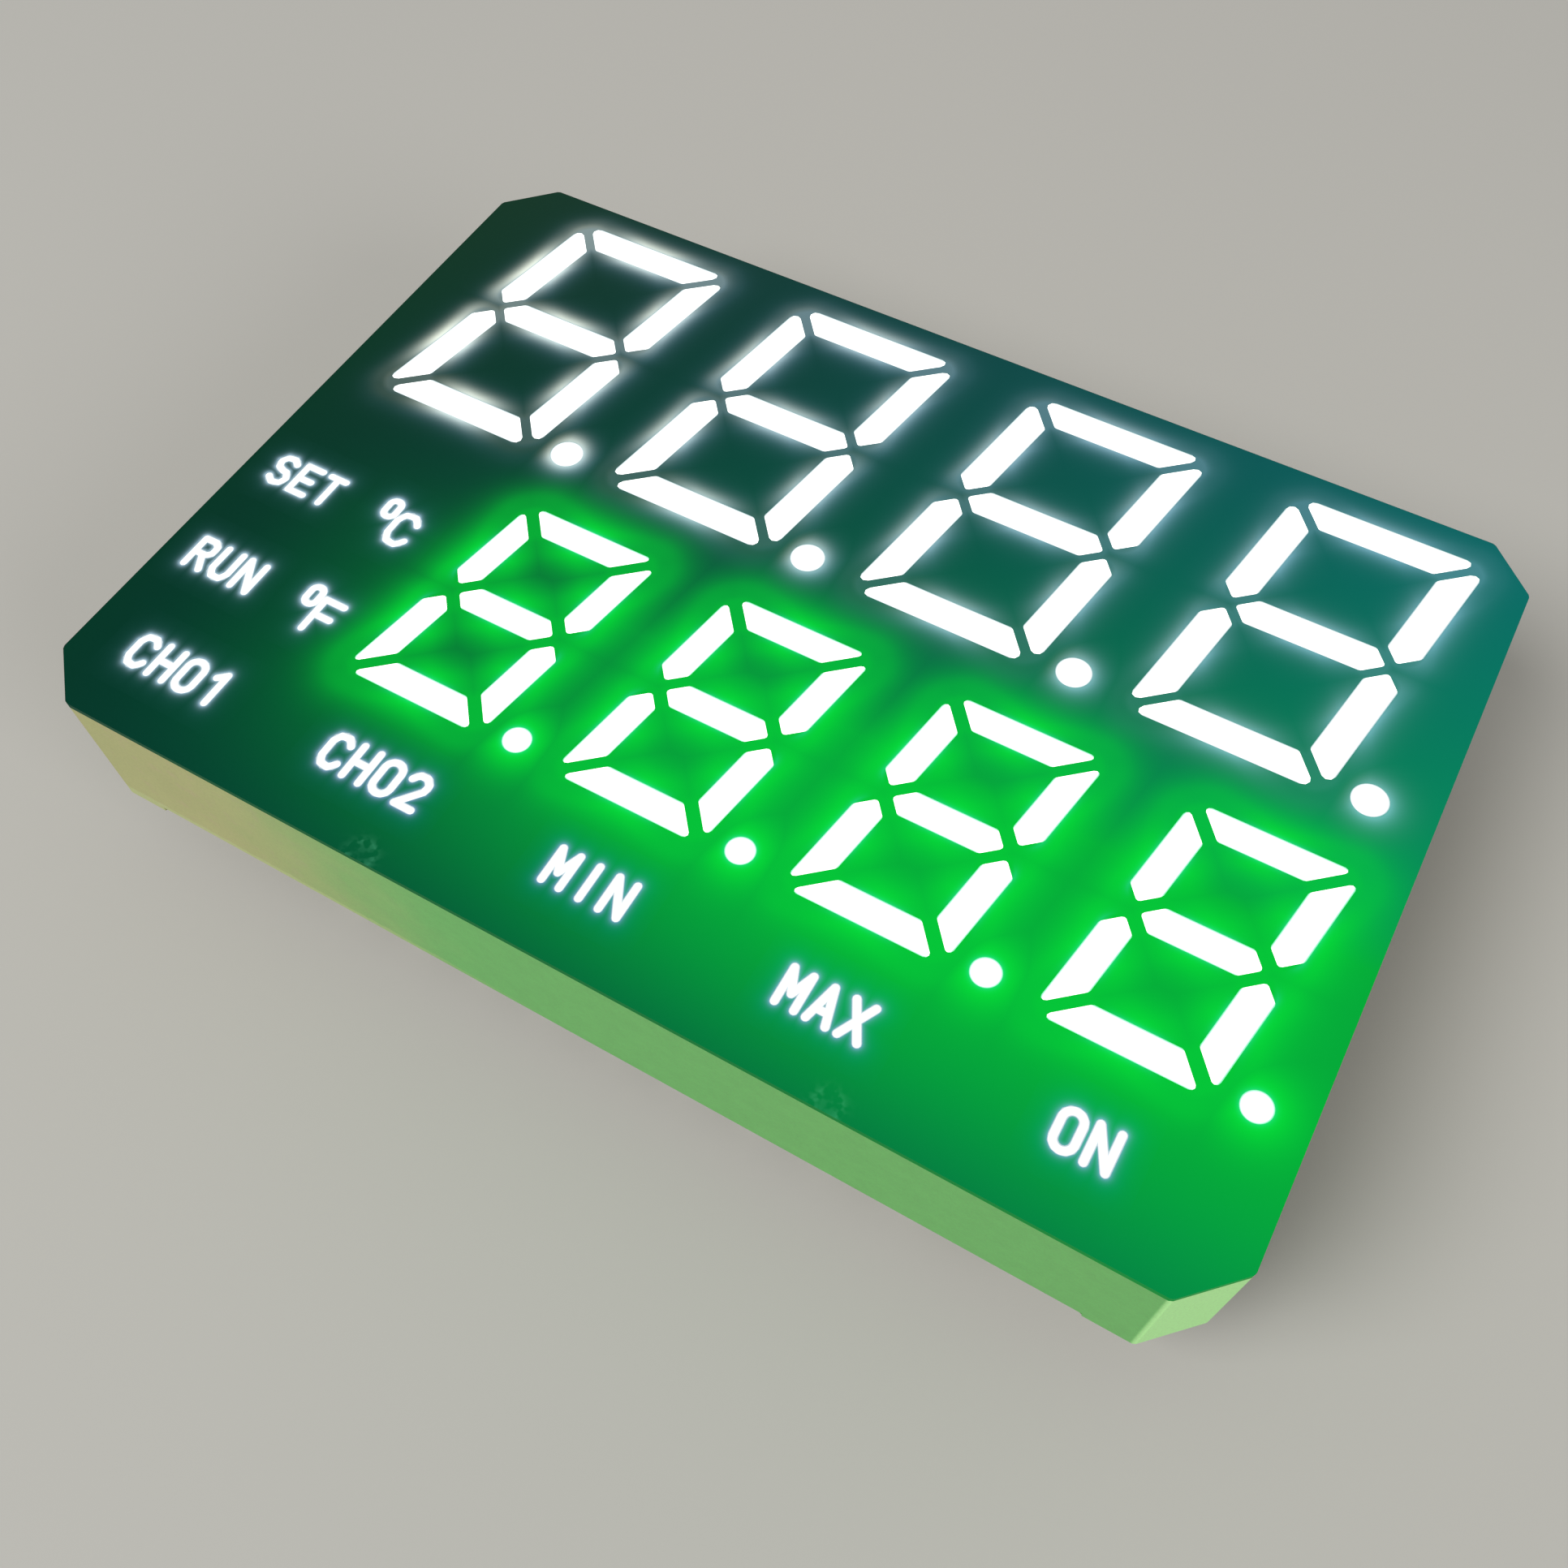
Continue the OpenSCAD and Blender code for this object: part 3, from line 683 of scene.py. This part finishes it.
def addCollars():
    look = collarLook
    shape = bmesh.new()
    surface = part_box("potting")[0].z
    radius = (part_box("front_pins")[1].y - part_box("front_pins")[0].y) / 2
    inner = radius * look["onPin"]
    top = surface + resinLook["sink"] * mm
    for index, spot in enumerate(pinPlaces("front_pins") + pinPlaces("rear_pins")):
        width = look["width"] * (1 + look["widthChange"] * roll(index, 1.7, 0.0)) * mm
        height = look["height"] * (1 + look["heightChange"] * roll(index, 2.3, 5.0)) * mm
        profile = []
        for share in look["steps"]:
            profile.append((inner + width * share, surface - height * (1 - share) ** look["curve"]))
        profile += [(inner + width, top), (inner, top)]
        corners = [shape.verts.new((spot.x + reach, spot.y, z)) for reach, z in profile]
        outline = [shape.edges.new((a, b)) for a, b in zip(corners, corners[1:] + corners[:1])]
        bmesh.ops.spin(shape, geom=corners + outline, cent=(spot.x, spot.y, 0), axis=(0, 0, 1),
                       angle=math.tau, steps=look["sides"], use_merge=True)
    finishPiece("resinCollars", shape, "potting_resin")


def outlinePoints(inset, spacing):  # points and inward directions round the case, drawn in by inset
    low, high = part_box("case")
    x = high.x / mm - inset
    y = high.y / mm - inset
    cut = caseShape["cut"] - inset * (2 - math.sqrt(2))
    corners = [(x - cut, -y), (x, cut - y), (x, y - cut), (x - cut, y),
               (cut - x, y), (-x, y - cut), (-x, cut - y), (cut - x, -y)]
    points = []
    for start, end in zip(corners, corners[1:] + corners[:1]):
        side = Vector(end) - Vector(start)
        inward = Vector((-side.y, side.x)).normalized()
        count = max(2, round(side.length / spacing))
        for index in range(count):
            points.append((Vector(start) + side * (index + 0.5) / count, inward))
    return points


def sweep(shape, rings):  # closed band through rings of points
    first = None
    previous = None
    for ring in rings:
        corners = [shape.verts.new(point) for point in ring]
        edges = [shape.edges.new((a, b)) for a, b in zip(corners, corners[1:] + corners[:1])]
        if previous:
            bmesh.ops.bridge_loops(shape, edges=previous + edges)
        first = first or edges
        previous = edges
    bmesh.ops.bridge_loops(shape, edges=previous + first)


edgeLook = {"width": 0.5, "widthChange": 0.6, "climb": 0.085, "climbChange": 0.012, "curve": 2,
            "spacing": 0.35, "steps": (0.0, 0.15, 0.4, 0.7, 1.0)}


def addEdgeResin():
    look = edgeLook
    sink = resinLook["sink"]
    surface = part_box("potting")[0].z / mm
    rings = []
    for index, (point, inward) in enumerate(outlinePoints(caseShape["wall"], look["spacing"])):
        width = look["width"] * (1 + look["widthChange"] * roll(index, 0.21, 1.0))
        climb = look["climb"] + look["climbChange"] * roll(index, 0.33, 9.0)
        ring = []
        for share in look["steps"]:
            spot = point + inward * (width * share - sink)
            ring.append(Vector((spot.x, spot.y, surface - climb * (1 - share) ** look["curve"])) * mm)
        for share in (1.0, 0.0):
            spot = point + inward * (width * share - sink)
            ring.append(Vector((spot.x, spot.y, surface + sink)) * mm)
        rings.append(ring)
    shape = bmesh.new()
    sweep(shape, rings)
    finishPiece("edgeResin", shape, "potting_resin")


def footHeight(point, low, high):  # how far the wall reaches down more at the corner feet
    reach = caseShape["footReach"]
    atCorner = abs(point.x) > high.x / mm - reach and abs(point.y) > high.y / mm - reach
    return caseShape["footHeight"] if atCorner else 0.0


flashLook = {"inset": 0.16, "spacing": 0.22, "thinnest": 0.004, "half": 0.13, "swell": 0.25,
             "broadBeads": 0.13, "smallBeads": 0.11, "sides": 8}


def addRimFlash():  # thin uneven line of resin under the outer edge of the wall
    look = flashLook
    low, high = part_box("case")
    rim = low.z / mm + caseShape["footHeight"]
    rings = []
    for index, (point, inward) in enumerate(outlinePoints(look["inset"], look["spacing"])):
        bead = max(0.0, roll(index, 0.13, 2.0)) * look["broadBeads"]
        bead += max(0.0, roll(index, 0.47, 7.0)) * look["smallBeads"]
        drop = look["thinnest"] + bead
        half = look["half"] + look["swell"] * bead
        height = rim - footHeight(point, low, high)
        ring = []
        for step in range(look["sides"]):
            turn = math.tau * step / look["sides"]
            spot = point + inward * (half * math.cos(turn) + half - look["half"])
            ring.append(Vector((spot.x, spot.y, height + drop * math.sin(turn))) * mm)
        rings.append(ring)
    shape = bmesh.new()
    sweep(shape, rings)
    finishPiece("rimFlash", shape, "potting_resin")


addFilm()
addPins("frontPins", "front_pins")
addPins("rearPins", "rear_pins")
addCollars()
addEdgeResin()
addRimFlash()
print("film, pins and resin done")


# Floor, light and camera

studioLook = {"floor": (0.45, 0.435, 0.405), "floorShade": (0.40, 0.395, 0.37), "floorSize": 4.0,
              "floorRoughness": 0.9, "floorSpecular": 0.1, "floorMottle": 0.01,
              "sky": (0.80, 0.80, 0.78, 1.0), "skyStrength": 0.55}


def addFloor():
    look = studioLook
    bpy.ops.mesh.primitive_plane_add(size=look["floorSize"])
    floor = bpy.context.object
    floor.name = "floor"
    material, tree, shader = newMaterial("floor", Roughness=look["floorRoughness"],
                                         Specular_IOR_Level=look["floorSpecular"])
    mottle = noise(tree, place(tree)[0], look["floorMottle"])
    tree.links.new(mix(mottle, look["floor"], look["floorShade"]), shader.inputs["Base Color"])
    floor.data.materials.append(material)


def addLamp(name, location, size, power):
    lamp = bpy.data.lights.new(name, "AREA")
    lamp.shape = "DISK"
    lamp.size = size
    lamp.energy = power
    holder = bpy.data.objects.new(name, lamp)
    bpy.context.scene.collection.objects.link(holder)
    holder.location = location
    holder.rotation_euler = Vector(location).to_track_quat("Z", "Y").to_euler()


cameraSettings = {"location": (14.17, -24.49, 45.91), "right": (0.8692, 0.4942, -0.0163),
                  "up": (-0.4157, 0.7481, 0.5172), "back": (0.2678, -0.4428, 0.8557), "lens": 35.35}


def addCamera():
    camera = bpy.data.cameras.new("camera")
    camera.lens = cameraSettings["lens"]
    camera.clip_start = 0.002
    camera.clip_end = 20
    holder = bpy.data.objects.new("camera", camera)
    bpy.context.scene.collection.objects.link(holder)
    axes = [Vector(cameraSettings[axis]).normalized() for axis in ("right", "up", "back")]
    turn = Matrix(axes).transposed().to_4x4()
    holder.matrix_world = Matrix.Translation(Vector(cameraSettings["location"]) * mm) @ turn
    bpy.context.scene.camera = holder


def addWorld():
    world = bpy.data.worlds.new("studio")
    bpy.context.scene.world = world
    world.use_nodes = True
    background = world.node_tree.nodes["Background"]
    background.inputs["Color"].default_value = studioLook["sky"]
    background.inputs["Strength"].default_value = studioLook["skyStrength"]


addFloor()
addLamp("keyLamp", (-0.15, -0.25, 0.35), 0.25, 1.6)
addLamp("sideLamp", (0.35, -0.1, 0.2), 0.2, 0.5)
addWorld()
addCamera()
bpy.context.scene.view_settings.view_transform = "Standard"

print("scene done")
